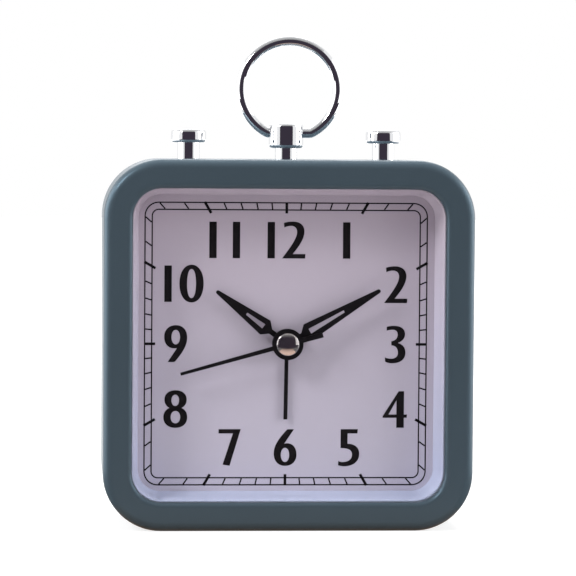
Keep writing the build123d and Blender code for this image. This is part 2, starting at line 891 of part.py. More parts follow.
# Seconds wheel on the shaft that runs through every pipe to the second hand
def make_seconds_wheel():
    back = bearing_s - slide_clear
    wheel = rod(second_shaft, 0, axis_z, second_s, back)
    wheel += rod(pivot_radius, 0, axis_z, back, frame_s + slide_clear)
    wheel += gear(second_leaves, train_module, 0, axis_z, third_s, 270)
    return wheel + gear(second_teeth, train_module, 0, axis_z, seconds_s, 90)


def make_centre_wheel():
    wheel = gear(centre_teeth, centre_module, 0, axis_z, centre_s, 270)
    return wheel - rod(minute_pipe + run_clear, 0, axis_z, centre_s, third_s)


def make_cannon_pinion():
    pinion = rod(minute_pipe, 0, axis_z, minute_s, centre_s + wheel_thick + body_clear)
    pinion += gear(cannon_teeth, motion_module, 0, axis_z, cannon_s, 180)
    return pinion - rod(minute_bore, 0, axis_z, 0, bearing_s)


def make_hour_wheel():
    wheel = rod(hour_pipe, 0, axis_z, hour_s, hour_wheel_s + wheel_thick)
    wheel += gear(hour_teeth, hour_module, 0, axis_z, hour_wheel_s, 180)
    return wheel - rod(hour_bore, 0, axis_z, 0, bearing_s)


def make_alarm_wheel():
    wheel = rod(alarm_pipe, 0, axis_z, alarm_s, alarm_wheel_s + wheel_thick)
    wheel += gear(alarm_teeth, alarm_module, 0, axis_z, alarm_wheel_s, 0)
    return wheel - rod(alarm_bore, 0, axis_z, 0, bearing_s)


# Setting arbor from the movement's front wall to the knob behind the rear cover
def setting_shafts(x):
    step = base_s + base_wall + slide_clear
    shoulder = frame_s - shaft_step
    arbor = rod(setting_pivot, x, axis_z, base_s + body_clear, step)
    arbor += rod(setting_arbor, x, axis_z, step, shoulder)
    return arbor + rod(setting_shaft, x, axis_z, shoulder, knob_s + knob_bore)


def make_motion_wheel():
    wheel = setting_shafts(motion_x)
    wheel += gear(motion_teeth, motion_module, motion_x, axis_z, cannon_s, 0, on_gap=True)
    return wheel + gear(motion_leaves, hour_module, motion_x, axis_z, hour_wheel_s, 0, on_gap=True)


def make_alarm_pinion():
    pinion = setting_shafts(alarm_x)
    return pinion + gear(alarm_leaves, alarm_module, alarm_x, axis_z, alarm_wheel_s, 180, on_gap=True)


def make_knob(x):
    top = knob_s + knob_height
    knob = rod(knob_radius, x, axis_z, knob_s, top)
    knob = chamfer(knob.edges().group_by(Axis.Y)[-1], knob_chamfer)
    reach = knob_radius + grip_proud
    for grip in range(knob_grips):
        turn = 2 * pi * grip / knob_grips
        knob -= rod(grip_radius, x + reach * cos(turn), axis_z + reach * sin(turn), knob_s, top)
    knob += rod(knob_sleeve, x, axis_z, movement_s + sleeve_rise, knob_s)
    return knob - rod(setting_shaft + hand_press, x, axis_z, movement_s, knob_s + knob_bore)


# Flat hand: drawn pointing up, then turned clockwise and bored for its pipe
def make_hand(shape, angle, bore, s, boss):
    flat = Rot(0, 0, -angle) * (shape + Circle(boss)) - Circle(bore + hand_press)
    return slab(Pos(0, axis_z) * flat, s, s + hand_thick)


# Cut-out hand: narrow neck, shoulders, straight taper to a round tip, with a tapered slot
def skeleton(length, shoulder, half, slot_end):
    neck_end, tip = shoulder - hand_flare, length - hand_tip
    blade = Polygon((hand_neck, 0), (hand_neck, neck_end), (half, shoulder), (hand_tip, tip),
                    (-hand_tip, tip), (-half, shoulder), (-hand_neck, neck_end), (-hand_neck, 0), align=None)
    blade += Pos(0, tip) * Circle(hand_tip)
    low, side = shoulder + slot_rim, half * slot_share
    return blade - Polygon((side, low), (slot_tip, slot_end), (-slot_tip, slot_end), (-side, low), align=None)


def make_minute_hand():
    shape = skeleton(minute_length, minute_shoulder, minute_half, minute_slot)
    return make_hand(shape, minute_angle, minute_pipe, minute_s, hand_boss - 2 * boss_step)


def make_hour_hand():
    shape = skeleton(hour_length, hour_shoulder, hour_half, hour_slot)
    return make_hand(shape, hour_angle, hour_pipe, hour_s, hand_boss - boss_step)


def make_second_hand():
    blade = Polygon((second_half, 0), (second_tip, second_length), (-second_tip, second_length),
                    (-second_half, 0), (-tail_half, -second_tail), (tail_half, -second_tail), align=None)
    return make_hand(blade, second_angle, second_shaft, second_s, hand_boss)


def make_alarm_hand():
    blade = Polygon((alarm_half, 0), (alarm_tip, alarm_length), (-alarm_tip, alarm_length), (-alarm_half, 0),
                    align=None)
    return make_hand(blade, alarm_angle, alarm_pipe, alarm_s, hand_boss - 3 * boss_step)


# Domed cap on the second hand
def make_cap():
    round_radius = (cap_radius ** 2 + cap_height ** 2) / (2 * cap_height)
    ball = Pos(0, front_y + second_s - cap_height + round_radius, axis_z) * Sphere(round_radius)
    return ball & rod(cap_radius + cut_past, 0, axis_z, second_s - cap_height - cut_past, second_s)


nodes = {
    "front_case": make_front_case(),
    "lens": make_lens(),
    "dial_ring": make_dial_ring(),
    "dial": make_dial(),
    "dial_lamp": make_dial_lamp(),
    "rear_cover": make_rear_cover(),
    "battery_door": make_battery_door(),
    "case_screws": make_case_screws(),
    "battery_cell": make_cell(),
    "positive_contact": contact_plate(cell_right),
    "negative_contact": make_negative_contact(),
    "buzzer": make_buzzer(),
    "alarm_switch_housing": make_switch_housing(),
    "alarm_switch_lever": make_lever(),
    "pendant": make_pendant(),
    "pendant_washer": make_pendant_washer(),
    "pendant_nut": make_pendant_nut(),
    "hanging_ring": make_ring(),
    "button_board": make_button_board(),
    "movement_base": make_movement_base(),
    "train_plate": make_train_plate(),
    "movement_cover": make_movement_cover(),
    "movement_screws": small_screws(frame_screw_places(), movement_s, base_wall + frame_screw_depth),
    "mounting_screws": small_screws([(-ear_x, axis_z), (ear_x, axis_z)], base_s + ear_rise + base_wall,
                                    mount_screw_depth),
    "circuit_board": make_circuit_board(),
    "clock_chip": make_chip(),
    "quartz_crystal": make_crystal(),
    "stator": make_stator(),
    "coil_bobbin": make_coil_bobbin(),
    "coil_winding": make_coil_winding(),
    "rotor": make_rotor(),
    "intermediate_wheel": make_middle_wheel(),
    "third_wheel": make_third_wheel(),
    "seconds_wheel": make_seconds_wheel(),
    "centre_wheel": make_centre_wheel(),
    "cannon_pinion": make_cannon_pinion(),
    "hour_wheel": make_hour_wheel(),
    "alarm_wheel": make_alarm_wheel(),
    "motion_wheel": make_motion_wheel(),
    "alarm_set_pinion": make_alarm_pinion(),
    "time_set_knob": make_knob(motion_x),
    "alarm_set_knob": make_knob(alarm_x),
    "minute_hand": make_minute_hand(),
    "hour_hand": make_hour_hand(),
    "second_hand": make_second_hand(),
    "alarm_hand": make_alarm_hand(),
    "hand_cap": make_cap(),
}
for name, x in (("light", -button_x), ("snooze", button_x)):
    nodes[name + "_button"] = make_button(x)
    nodes[name + "_button_clip"] = make_clip(x)
    nodes[name + "_button_spring"] = make_button_spring(x)
    nodes[name + "_button_guide"] = make_guide(x)
    nodes[name + "_switch"] = make_tact_switch(x)

os.makedirs("parts", exist_ok=True)
for name, shape in nodes.items():
    export_step(shape, "parts/" + name + ".step")
print("wrote", len(nodes), "nodes")
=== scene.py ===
import bmesh
import bpy
import math
from mathutils import Matrix, Vector


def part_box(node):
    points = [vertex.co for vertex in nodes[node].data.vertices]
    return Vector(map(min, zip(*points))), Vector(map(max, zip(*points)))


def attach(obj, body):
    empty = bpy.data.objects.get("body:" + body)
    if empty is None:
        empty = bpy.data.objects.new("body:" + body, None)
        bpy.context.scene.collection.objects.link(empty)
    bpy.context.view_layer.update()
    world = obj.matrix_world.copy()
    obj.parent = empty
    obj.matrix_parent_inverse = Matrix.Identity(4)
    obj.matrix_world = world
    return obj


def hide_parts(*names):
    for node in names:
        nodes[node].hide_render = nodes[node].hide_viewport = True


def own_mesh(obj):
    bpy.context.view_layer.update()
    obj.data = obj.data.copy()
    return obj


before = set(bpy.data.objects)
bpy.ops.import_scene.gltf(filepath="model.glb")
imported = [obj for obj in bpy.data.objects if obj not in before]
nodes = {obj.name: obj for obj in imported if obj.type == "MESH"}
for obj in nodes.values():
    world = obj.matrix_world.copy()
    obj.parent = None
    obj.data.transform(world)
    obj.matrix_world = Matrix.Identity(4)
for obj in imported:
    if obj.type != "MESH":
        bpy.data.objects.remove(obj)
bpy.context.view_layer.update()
mm = 0.001
print("frame loaded,", len(nodes), "nodes")


# helpers for colours and shader nodes

def linear(colour):  # 0-255 screen colour to the shader's own units
    shares = [c / 255 for c in colour]
    return tuple(s / 12.92 if s <= 0.04045 else ((s + 0.055) / 1.055) ** 2.4 for s in shares) + (1.0,)


def grey(tone):
    return (tone, tone, tone)


def ranged(tree, value, low, high, fromLow=0.3, fromHigh=0.7):
    span = tree.nodes.new("ShaderNodeMapRange")
    for name, number in (("From Min", fromLow), ("From Max", fromHigh), ("To Min", low), ("To Max", high)):
        span.inputs[name].default_value = number
    tree.links.new(value, span.inputs["Value"])
    return span.outputs["Result"]


def blended(tree, share, first, second):
    mix = tree.nodes.new("ShaderNodeMix")
    mix.data_type = "RGBA"
    for socket, colour in ((mix.inputs[6], first), (mix.inputs[7], second)):
        if isinstance(colour, tuple):
            socket.default_value = colour
        else:
            tree.links.new(colour, socket)
    tree.links.new(share, mix.inputs[0])
    return mix.outputs[2]


def objectAxis(tree, axis):  # one coordinate in the object's own frame
    coord = tree.nodes.new("ShaderNodeTexCoord")
    split = tree.nodes.new("ShaderNodeSeparateXYZ")
    tree.links.new(coord.outputs["Object"], split.inputs[0])
    return split.outputs[axis]


# camera

shot = {
    "aim": (-0.52, -20.5, 55.80),  # mm, a point in the plane of the case front
    "azimuth": -4.12,  # degrees, a little from the left
    "elevation": 2.64,
    "roll": 0.40,
    "distance": 700.0,
    "lens": 192.1,
    "sensor": 36.0,
    "nearest": 0.01,  # m
}


def placeCamera():
    data = bpy.data.cameras.new("shotCamera")
    data.lens = shot["lens"]
    data.sensor_width = shot["sensor"]
    data.clip_start = shot["nearest"]
    camera = bpy.data.objects.new("shotCamera", data)
    bpy.context.scene.collection.objects.link(camera)
    turn, lift, roll = (math.radians(shot[k]) for k in ("azimuth", "elevation", "roll"))
    back = Vector((math.sin(turn) * math.cos(lift), -math.cos(turn) * math.cos(lift), math.sin(lift)))
    right = Vector((0, 0, 1)).cross(back).normalized()
    up = back.cross(right)
    sideAxis = math.cos(roll) * right + math.sin(roll) * up
    upAxis = -math.sin(roll) * right + math.cos(roll) * up
    turned = Matrix((sideAxis, upAxis, back)).transposed().to_4x4()
    place = Vector(shot["aim"]) * mm + back * shot["distance"] * mm
    camera.matrix_world = Matrix.Translation(place) @ turned
    bpy.context.scene.camera = camera


placeCamera()
print("camera placed")


# studio

tentShade = (0.047, 0.038, 0.055)  # the dark, faintly violet side of the light tent
studio = {
    "floorSize": 6.0,  # m
    "floorTone": 0.40,
    "floorLift": (0.72, 1.0),  # white that only the camera and mirrors see: by the object, far off
    "floorReach": (0.2, 1.0),  # m
    "skyLight": 0.42,  # what the white room gives the object
    "cards": (  # name, width and length in m, place, tilt, tone at the camera's end and at the other
        ("cameraCard", (0.98, 0.68), (-0.03, -0.52, 0.00), math.pi / 2, tentShade, tentShade),
        ("upperCard", (0.98, 0.32), (-0.03, -0.52, 0.50), math.pi / 2, tentShade, grey(0.32)),
        ("ceilingCard", (1.30, 0.90), (-0.03, -0.08, 0.75), 0.0, grey(0.32), grey(0.85)),
        ("tableCard", (0.98, 0.40), (-0.03, -0.32, 0.0001), 0.0, tentShade, tentShade),
        # painted shade: a dark sheet under the case stands in, for mirrors, for its contact shadow on the
        # floor
        ("footShadeCard", (0.30, 0.14), (0.0, -0.05, 0.0001), 0.0, grey(0.20), grey(0.20)),
        ("frontCard", (0.09, 0.09), (0.0, -0.075, 0.0002), 0.0, tentShade, (1.05, 0.78, 0.65)),
        # painted shade: a warm, dark strip at the case's front foot stands in, for mirrors, for its contact
        # shadow
        ("edgeShadeCard", (0.09, 0.018), (0.0, -0.021, 0.0002), 0.0, (0.46, 0.24, 0.11), (0.46, 0.24, 0.11)),
    ),
    "cardRamp": 0.35,  # where a card reaches its far tone, from its middle to its end
    "lamps": (  # name, place, size, watts, whether mirrors show it
        ("topSoftbox", (-0.90, -0.62, 0.88), 0.35, 8.0, True),
        ("rightSoftbox", (1.05, -0.65, 0.45), 0.7, 6.5, False),
        ("leftWall", (-1.15, 0.10, 0.25), 1.1, 15.0, True),
        ("rightWall", (1.15, 0.10, 0.25), 1.1, 13.0, True),
        ("roof", (0.0, 0.25, 1.20), 0.9, 20.0, False),
        ("backSoftbox", (0.0, 1.2, 0.9), 0.9, 6.0, True),
    ),
    "lampAim": (0.0, 0.0, 0.05),
}


def seenRays(tree):  # 1 for the rays that should meet plain white
    path = tree.nodes.new("ShaderNodeLightPath")
    first = tree.nodes.new("ShaderNodeMath")
    second = tree.nodes.new("ShaderNodeMath")
    first.operation = second.operation = "MAXIMUM"
    tree.links.new(path.outputs["Is Camera Ray"], first.inputs[0])
    tree.links.new(path.outputs["Is Glossy Ray"], first.inputs[1])
    tree.links.new(first.outputs[0], second.inputs[0])
    tree.links.new(path.outputs["Is Transmission Ray"], second.inputs[1])
    return second.outputs[0]


def stagePlane(name, sizeX, sizeY, place, turn):
    mesh = bpy.data.meshes.new(name)
    x, y = sizeX / 2, sizeY / 2
    mesh.from_pydata([(-x, -y, 0), (x, -y, 0), (x, y, 0), (-x, y, 0)], [], [(0, 1, 2, 3)])
    plane = bpy.data.objects.new(name, mesh)
    plane.location = place
    plane.rotation_euler = turn
    bpy.context.scene.collection.objects.link(plane)
    return plane


def buildFloor():
    floor = stagePlane("floor", studio["floorSize"], studio["floorSize"], (0, 0, 0), (0, 0, 0))
    material = bpy.data.materials.new("floorWhite")
    material.use_nodes = True
    tree = material.node_tree
    tree.nodes.clear()
    diffuse = tree.nodes.new("ShaderNodeBsdfDiffuse")
    diffuse.inputs["Color"].default_value = (studio["floorTone"],) * 3 + (1,)
    glow = tree.nodes.new("ShaderNodeEmission")
    coord = tree.nodes.new("ShaderNodeTexCoord")
    away = tree.nodes.new("ShaderNodeVectorMath")
    away.operation = "LENGTH"
    tree.links.new(coord.outputs["Object"], away.inputs[0])
    level = ranged(tree, away.outputs["Value"], *studio["floorLift"], *studio["floorReach"])
    lift = tree.nodes.new("ShaderNodeMath")
    lift.operation = "MULTIPLY"
    tree.links.new(level, lift.inputs[1])
    both = tree.nodes.new("ShaderNodeAddShader")
    out = tree.nodes.new("ShaderNodeOutputMaterial")
    tree.links.new(seenRays(tree), lift.inputs[0])
    tree.links.new(lift.outputs[0], glow.inputs["Strength"])
    tree.links.new(diffuse.outputs[0], both.inputs[0])
    tree.links.new(glow.outputs[0], both.inputs[1])
    tree.links.new(both.outputs[0], out.inputs["Surface"])
    floor.data.materials.append(material)


def buildSky():
    world = bpy.data.worlds.new("whiteRoom")
    bpy.context.scene.world = world
    world.use_nodes = True
    tree = world.node_tree
    sky = tree.nodes["Background"]
    sky.inputs["Color"].default_value = (1, 1, 1, 1)
    level = ranged(tree, seenRays(tree), studio["skyLight"], 1.0, 0.0, 1.0)
    tree.links.new(level, sky.inputs["Strength"])


def buildCards():  # the darker sides of the light tent, and painted shade at the case's foot, met by mirrors alone
    for name, size, place, tilt, near, far in studio["cards"]:
        card = stagePlane(name, *size, place, (tilt, 0, 0))
        card.visible_camera = card.visible_diffuse = card.visible_shadow = False
        card.visible_volume_scatter = False
        material = bpy.data.materials.new(name)
        material.use_nodes = True
        tree = material.node_tree
        tree.nodes.clear()
        glow = tree.nodes.new("ShaderNodeEmission")
        half = size[1] / 2
        share = ranged(tree, objectAxis(tree, "Y"), 0.0, 1.0, -half, half * studio["cardRamp"])
        tree.links.new(blended(tree, share, near + (1.0,), far + (1.0,)), glow.inputs["Color"])
        out = tree.nodes.new("ShaderNodeOutputMaterial")
        tree.links.new(glow.outputs[0], out.inputs["Surface"])
        card.data.materials.append(material)


def buildLamps():
    for name, place, size, watts, mirrored in studio["lamps"]:
        data = bpy.data.lights.new(name, "AREA")
        data.energy = watts
        data.size = size
        lamp = bpy.data.objects.new(name, data)
        lamp.location = place
        aim = Vector(studio["lampAim"]) - Vector(place)
        lamp.rotation_euler = aim.to_track_quat("-Z", "Y").to_euler()
        lamp.visible_camera = False
        lamp.visible_glossy = lamp.visible_transmission = mirrored
        bpy.context.scene.collection.objects.link(lamp)


buildFloor()
buildSky()
buildCards()
buildLamps()
bpy.context.scene.view_settings.view_transform = "Standard"
print("studio lit")


# finishes

def newTree(name):
    material = bpy.data.materials.new(name)
    material.use_nodes = True
    tree = material.node_tree
    return material, tree, tree.nodes["Principled BSDF"]


def objectNoise(tree, scale, detail=2.0):
    coord = tree.nodes.new("ShaderNodeTexCoord")
    noise = tree.nodes.new("ShaderNodeTexNoise")
    noise.inputs["Scale"].default_value = scale
    noise.inputs["Detail"].default_value = detail
    tree.links.new(coord.outputs["Object"], noise.inputs["Vector"])
    return noise.outputs["Fac"]


def bumped(tree, shader, height, depth, strength=1.0):
    bump = tree.nodes.new("ShaderNodeBump")
    bump.inputs["Strength"].default_value = strength
    bump.inputs["Distance"].default_value = depth * mm
    tree.links.new(height, bump.inputs["Height"])
    tree.links.new(bump.outputs["Normal"], shader.inputs["Normal"])


def toned(colour, factor):
    return tuple(c * factor for c in colour[:3]) + (1.0,)


usualLook = {  # what a plain finish has where its own dictionary says nothing else
    "spread": 0.06,
    "mottle": 60.0,
    "bump": 0.4,
    "metal": 0.0,
    "coat": 0.0,
    "coatRough": 0.05,
    "shine": 0.5,
    "sheen": (255, 255, 255),
}


def plainFinish(name, ownLook):
    look = {**usualLook, **ownLook}
    material, tree, shader = newTree(name)
    base, spread = linear(look["colour"]), look["spread"]
    cloud = objectNoise(tree, look["mottle"], detail=3.0)
    tint = blended(tree, ranged(tree, cloud, 0.0, 1.0), toned(base, 1 - spread), toned(base, 1 + spread))
    tree.links.new(tint, shader.inputs["Base Color"])
    grain = objectNoise(tree, look["grain"])
    low, high = look["rough"]
    tree.links.new(ranged(tree, grain, low, high), shader.inputs["Roughness"])
    bumped(tree, shader, grain, look["depth"], look["bump"])
    shader.inputs["Metallic"].default_value = look["metal"]
    shader.inputs["Coat Weight"].default_value = look["coat"]
    shader.inputs["Coat Roughness"].default_value = look["coatRough"]
    shader.inputs["Specular IOR Level"].default_value = look["shine"]
    shader.inputs["Specular Tint"].default_value = linear(look["sheen"])
    return material


def dress(material, *names):
    for name in names:
        nodes[name].data.materials.clear()
        nodes[name].data.materials.append(material)


# case shell, rear cover and door: soft blue-grey paint

casePaint = {
    "colour": (62, 73, 81),
    "spread": 0.035,
    "mottle": 35.0,
    "grain": 5200.0,  # one grain is about 0.2 mm
    "rough": (0.30, 0.38),
    "depth": 0.012,
    "bump": 0.35,
    "shine": 0.6,
    "sheen": (190, 230, 255),
}
dress(plainFinish("casePaint", casePaint), "front_case", "rear_cover", "battery_door")


# clear lens: glass that lets the lamps through

lensGlass = {"tint": (0.985, 0.985, 0.99, 1.0), "bend": 1.15, "smear": (0.0, 0.015), "mottle": 40.0}


def clearGlass():
    material, tree, shader = newTree("lensClear")
    shader.inputs["Base Color"].default_value = lensGlass["tint"]
    shader.inputs["IOR"].default_value = lensGlass["bend"]
    shader.inputs["Transmission Weight"].default_value = 1.0
    smear = objectNoise(tree, lensGlass["mottle"], detail=3.0)
    tree.links.new(ranged(tree, smear, *lensGlass["smear"]), shader.inputs["Roughness"])
    through = tree.nodes.new("ShaderNodeBsdfTransparent")
    path = tree.nodes.new("ShaderNodeLightPath")
    lampRay = tree.nodes.new("ShaderNodeMath")
    lampRay.operation = "MAXIMUM"
    mix = tree.nodes.new("ShaderNodeMixShader")
    tree.links.new(path.outputs["Is Shadow Ray"], lampRay.inputs[0])
    tree.links.new(path.outputs["Is Diffuse Ray"], lampRay.inputs[1])
    tree.links.new(lampRay.outputs[0], mix.inputs[0])
    tree.links.new(shader.outputs[0], mix.inputs[1])
    tree.links.new(through.outputs[0], mix.inputs[2])
    tree.links.new(mix.outputs[0], tree.nodes["Material Output"].inputs["Surface"])
    return material


dress(clearGlass(), "lens")


# dial ring and dial

ringWhite = {
    # painted light: the white ring is tinted warmer at its head and bluer at its foot, after how light falls
    # on it
    "top": (220, 206, 216),
    "bottom": (198, 208, 236),
    "grain": 900.0,
    "rough": (0.14, 0.20),
    "depth": 0.004,
    "bump": 0.3,
    "shine": 0.5,
    "coat": 0.8,
}
# painted shade: the white dial is given a greyed lavender tone, as it looks in shade behind the lens
dialFace = {
    "top": (180, 167, 180),  # painted shade: darker and warmer above, where the bezel shades the dial
    "bottom": (196, 191, 208),  # lighter and cooler towards the foot, less shaded
    "grain": 2600.0,
    "rough": (0.50, 0.62),
    "depth": 0.006,
    "bump": 0.3,
    "shine": 0.3,
    "coat": 0.0,
}


def paintedLightGradient(name, look):  # painted light and shade: one tint at the foot of the dial, another at its head
    material, tree, shader = newTree(name)
    low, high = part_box("dial")
    rise = ranged(tree, objectAxis(tree, "Z"), 0.0, 1.0, low.z, high.z)
    tint = blended(tree, rise, linear(look["bottom"]), linear(look["top"]))
    tree.links.new(tint, shader.inputs["Base Color"])
    grain = objectNoise(tree, look["grain"])
    tree.links.new(ranged(tree, grain, *look["rough"]), shader.inputs["Roughness"])
    bumped(tree, shader, grain, look["depth"], look["bump"])
    shader.inputs["Specular IOR Level"].default_value = look["shine"]
    shader.inputs["Coat Weight"].default_value = look["coat"]
    return material


dress(paintedLightGradient("ringWhite", ringWhite), "dial_ring")
dress(paintedLightGradient("dialCard", dialFace), "dial")


# hands and their cap

handLacquer = {
    "colour": (20, 18, 21),
    "spread": 0.1,
    "grain": 3000.0,
    "rough": (0.30, 0.42),
    "depth": 0.003,
    "bump": 0.2,
    "shine": 0.15,
}
chromePlate = {
    "colour": (232, 233, 235),
    "spread": 0.015,
    "mottle": 90.0,
    "grain": 700.0,
    "rough": (0.03, 0.07),
    "depth": 0.0008,
    "bump": 0.15,
    "metal": 1.0,
}
capNickel = {
    "colour": (205, 200, 198),
    "spread": 0.03,
    "grain": 900.0,
    "rough": (0.06, 0.10),
    "depth": 0.001,
    "bump": 0.15,
    "metal": 1.0,
}
handBlack = plainFinish("handBlack", handLacquer)
chrome = plainFinish("chromePlate", chromePlate)
dress(handBlack, "minute_hand", "hour_hand", "second_hand", "alarm_hand")
dress(chrome, "pendant", "hanging_ring", "light_button", "snooze_button")


# cap: a low dome with a tight edge

capDome = {
    "bend": 5.6,  # radius of the dome, mm
    "flat": 0.84,  # share of the width before the edge turns down
    "pull": (0.7, 0.5),  # lean of the edge's curve, out and down, in shares of its width
    "steps": 8,  # rows on the dome, and as many on the edge
    "turns": 64,
}


def domePoints(radius, height):  # distance out and back, from the middle to the foot of the edge
    bend, reach = capDome["bend"] * mm, radius * capDome["flat"]
    tilt = math.asin(reach / bend)
    shares = [i / capDome["steps"] for i in range(1, capDome["steps"] + 1)]
    points = [(bend * math.sin(tilt * t), bend * (1 - math.cos(tilt * t))) for t in shares]
    (x, y), room = points[-1], radius - reach
    out, down = (room * pull for pull in capDome["pull"])
    for t in shares:
        a, b, c, d = (1 - t) ** 3, 3 * t * (1 - t) ** 2, 3 * t * t * (1 - t), t ** 3
        back = a * y + b * (y + out * math.tan(tilt)) + c * (y + down) + d * height
        points.append((a * x + b * (x + out) + (c + d) * radius, back))
    return points


def turnCap():
    low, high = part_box("hand_cap")
    middle, turns = (low + high) / 2, capDome["turns"]
    mesh = bpy.data.meshes.new("hand_cap_dome")
    verts, faces = [(middle.x, low.y, middle.z)], []
    for out, back in domePoints((high.x - low.x) / 2, high.y - low.y):
        for i in range(turns):
            turn = 2 * math.pi * i / turns
            verts.append((middle.x + out * math.sin(turn), low.y + back, middle.z + out * math.cos(turn)))
    rows = (len(verts) - 1) // turns
    for i in range(turns):
        j = (i + 1) % turns
        faces.append((0, 1 + i, 1 + j))
        faces += [(1 + r * turns + i, 1 + (r + 1) * turns + i, 1 + (r + 1) * turns + j, 1 + r * turns + j)
                  for r in range(rows - 1)]
    faces.append(tuple(1 + (rows - 1) * turns + i for i in range(turns)))
    mesh.from_pydata(verts, [], faces)
    mesh.polygons.foreach_set("use_smooth", [True] * (len(faces) - 1) + [False])
    mesh.materials.append(plainFinish("capNickel", capNickel))
    dome = bpy.data.objects.new("hand_cap_dome", mesh)
    bpy.context.scene.collection.objects.link(dome)
    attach(dome, "second_hand")
    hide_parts("hand_cap")


dress(chrome, "hand_cap")
turnCap()


# small metal

zincSteel = {
    "colour": (186, 184, 178),
    "spread": 0.08,
    "mottle": 400.0,
    "grain": 2400.0,
    "rough": (0.24, 0.40),
    "depth": 0.004,
    "metal": 1.0,
}
dress(plainFinish("zincSteel", zincSteel), "case_screws", "movement_screws", "mounting_screws",
      "pendant_washer", "pendant_nut", "light_button_clip", "snooze_button_clip", "light_button_spring",
      "snooze_button_spring", "positive_contact", "negative_contact", "quartz_crystal", "stator", "buzzer")


# button springs, which shorten as a button goes down; here each is copied whole into a coil of its own on
# the case

buttonSprings = {"light_button_spring": "light_button_press", "snooze_button_spring": "snooze_button_press"}


def pressedSpring(node):
    spring = bpy.data.objects.new(node + "_coil", nodes[node].data.copy())
    bpy.context.scene.collection.objects.link(spring)
    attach(spring, "case")
    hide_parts(node)
    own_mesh(spring)


for node, joint in buttonSprings.items():
    pressedSpring(node)


# plastics inside and behind

knobBlack = {"colour": (34, 34, 36), "grain": 3400.0, "rough": (0.38, 0.55), "depth": 0.015}
movementGrey = {"colour": (52, 54, 58), "grain": 2800.0, "rough": (0.40, 0.56), "depth": 0.012}
gearNylon = {"colour": (226, 222, 208), "grain": 2200.0, "rough": (0.32, 0.46), "depth": 0.006}
brassGear = {"colour": (196, 158, 92), "grain": 2600.0, "rough": (0.22, 0.34), "depth": 0.003, "metal": 1.0}
chipResin = {"colour": (20, 20, 22), "grain": 3000.0, "rough": (0.18, 0.30), "depth": 0.006}
lampResin = {"colour": (240, 238, 226), "grain": 2000.0, "rough": (0.2, 0.3), "depth": 0.004}
switchGrey = {"colour": (70, 72, 76), "grain": 3200.0, "rough": (0.40, 0.55), "depth": 0.01}
boardGreen = {"colour": (38, 92, 60), "grain": 2600.0, "rough": (0.28, 0.42), "depth": 0.006, "coat": 0.3}
dress(plainFinish("knobBlack", knobBlack), "time_set_knob", "alarm_set_knob", "alarm_switch_lever")
dress(plainFinish("movementGrey", movementGrey), "movement_base", "movement_cover", "train_plate",
      "alarm_switch_housing", "light_button_guide", "snooze_button_guide", "coil_bobbin")
dress(plainFinish("gearNylon", gearNylon), "rotor", "intermediate_wheel", "third_wheel", "seconds_wheel",
      "centre_wheel", "hour_wheel", "alarm_wheel", "motion_wheel", "alarm_set_pinion")
dress(plainFinish("brassGear", brassGear), "cannon_pinion")
dress(plainFinish("chipResin", chipResin), "clock_chip")
dress(plainFinish("lampResin", lampResin), "dial_lamp")
dress(plainFinish("switchGrey", switchGrey), "light_switch", "snooze_switch")
dress(plainFinish("boardGreen", boardGreen), "circuit_board", "button_board")


# cell wrap: dark sleeve with a copper shoulder at the raised end

cellWrap = {
    "sleeve": (30, 32, 36),
    "shoulder": (186, 118, 70),
    "share": 0.72,  # of the length, up to the shoulder
    "fade": 0.3,  # mm
    "grain": 1500.0,
    "rough": (0.22, 0.30),
    "depth": 0.004,
    "bump": 0.3,
    "metal": 0.35,
}


def wrappedCell():
    material, tree, shader = newTree("cellWrap")
    low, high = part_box("battery_cell")
    edge = low.x + (high.x - low.x) * cellWrap["share"]
    step = ranged(tree, objectAxis(tree, "X"), 0.0, 1.0, edge, edge + cellWrap["fade"] * mm)
    tint = blended(tree, step, linear(cellWrap["sleeve"]), linear(cellWrap["shoulder"]))
    tree.links.new(tint, shader.inputs["Base Color"])
    grain = objectNoise(tree, cellWrap["grain"])
    tree.links.new(ranged(tree, grain, *cellWrap["rough"]), shader.inputs["Roughness"])
    bumped(tree, shader, grain, cellWrap["depth"], cellWrap["bump"])
    shader.inputs["Metallic"].default_value = cellWrap["metal"]
    return material


dress(wrappedCell(), "battery_cell")


# coil winding: fine copper turns side by side

windingWire = {
    "colour": (168, 84, 42),
    "shades": (0.6, 1.15),  # painted shade between two turns, and a painted highlight on top of one
    "turn": 0.12,  # mm
    "rough": 0.28,
    "depth": 0.03,
    "bump": 0.6,
}


def woundCopper():
    material, tree, shader = newTree("windingCopper")
    coord = tree.nodes.new("ShaderNodeTexCoord")
    wave = tree.nodes.new("ShaderNodeTexWave")
    wave.bands_direction = "X"
    wave.inputs["Scale"].default_value = math.pi / 10 / (windingWire["turn"] * mm)  # at 1 a band is pi / 10
    tree.links.new(coord.outputs["Object"], wave.inputs["Vector"])
    # painted shade in the grooves between turns, painted highlight on their tops
    dark, light = (toned(linear(windingWire["colour"]), shade) for shade in windingWire["shades"])
    tint = blended(tree, wave.outputs["Fac"], dark, light)
    tree.links.new(tint, shader.inputs["Base Color"])
    bumped(tree, shader, wave.outputs["Fac"], windingWire["depth"], windingWire["bump"])
    shader.inputs["Metallic"].default_value = 1.0
    shader.inputs["Roughness"].default_value = windingWire["rough"]
    return material


dress(woundCopper(), "coil_winding")
print("finishes set")


# dial print

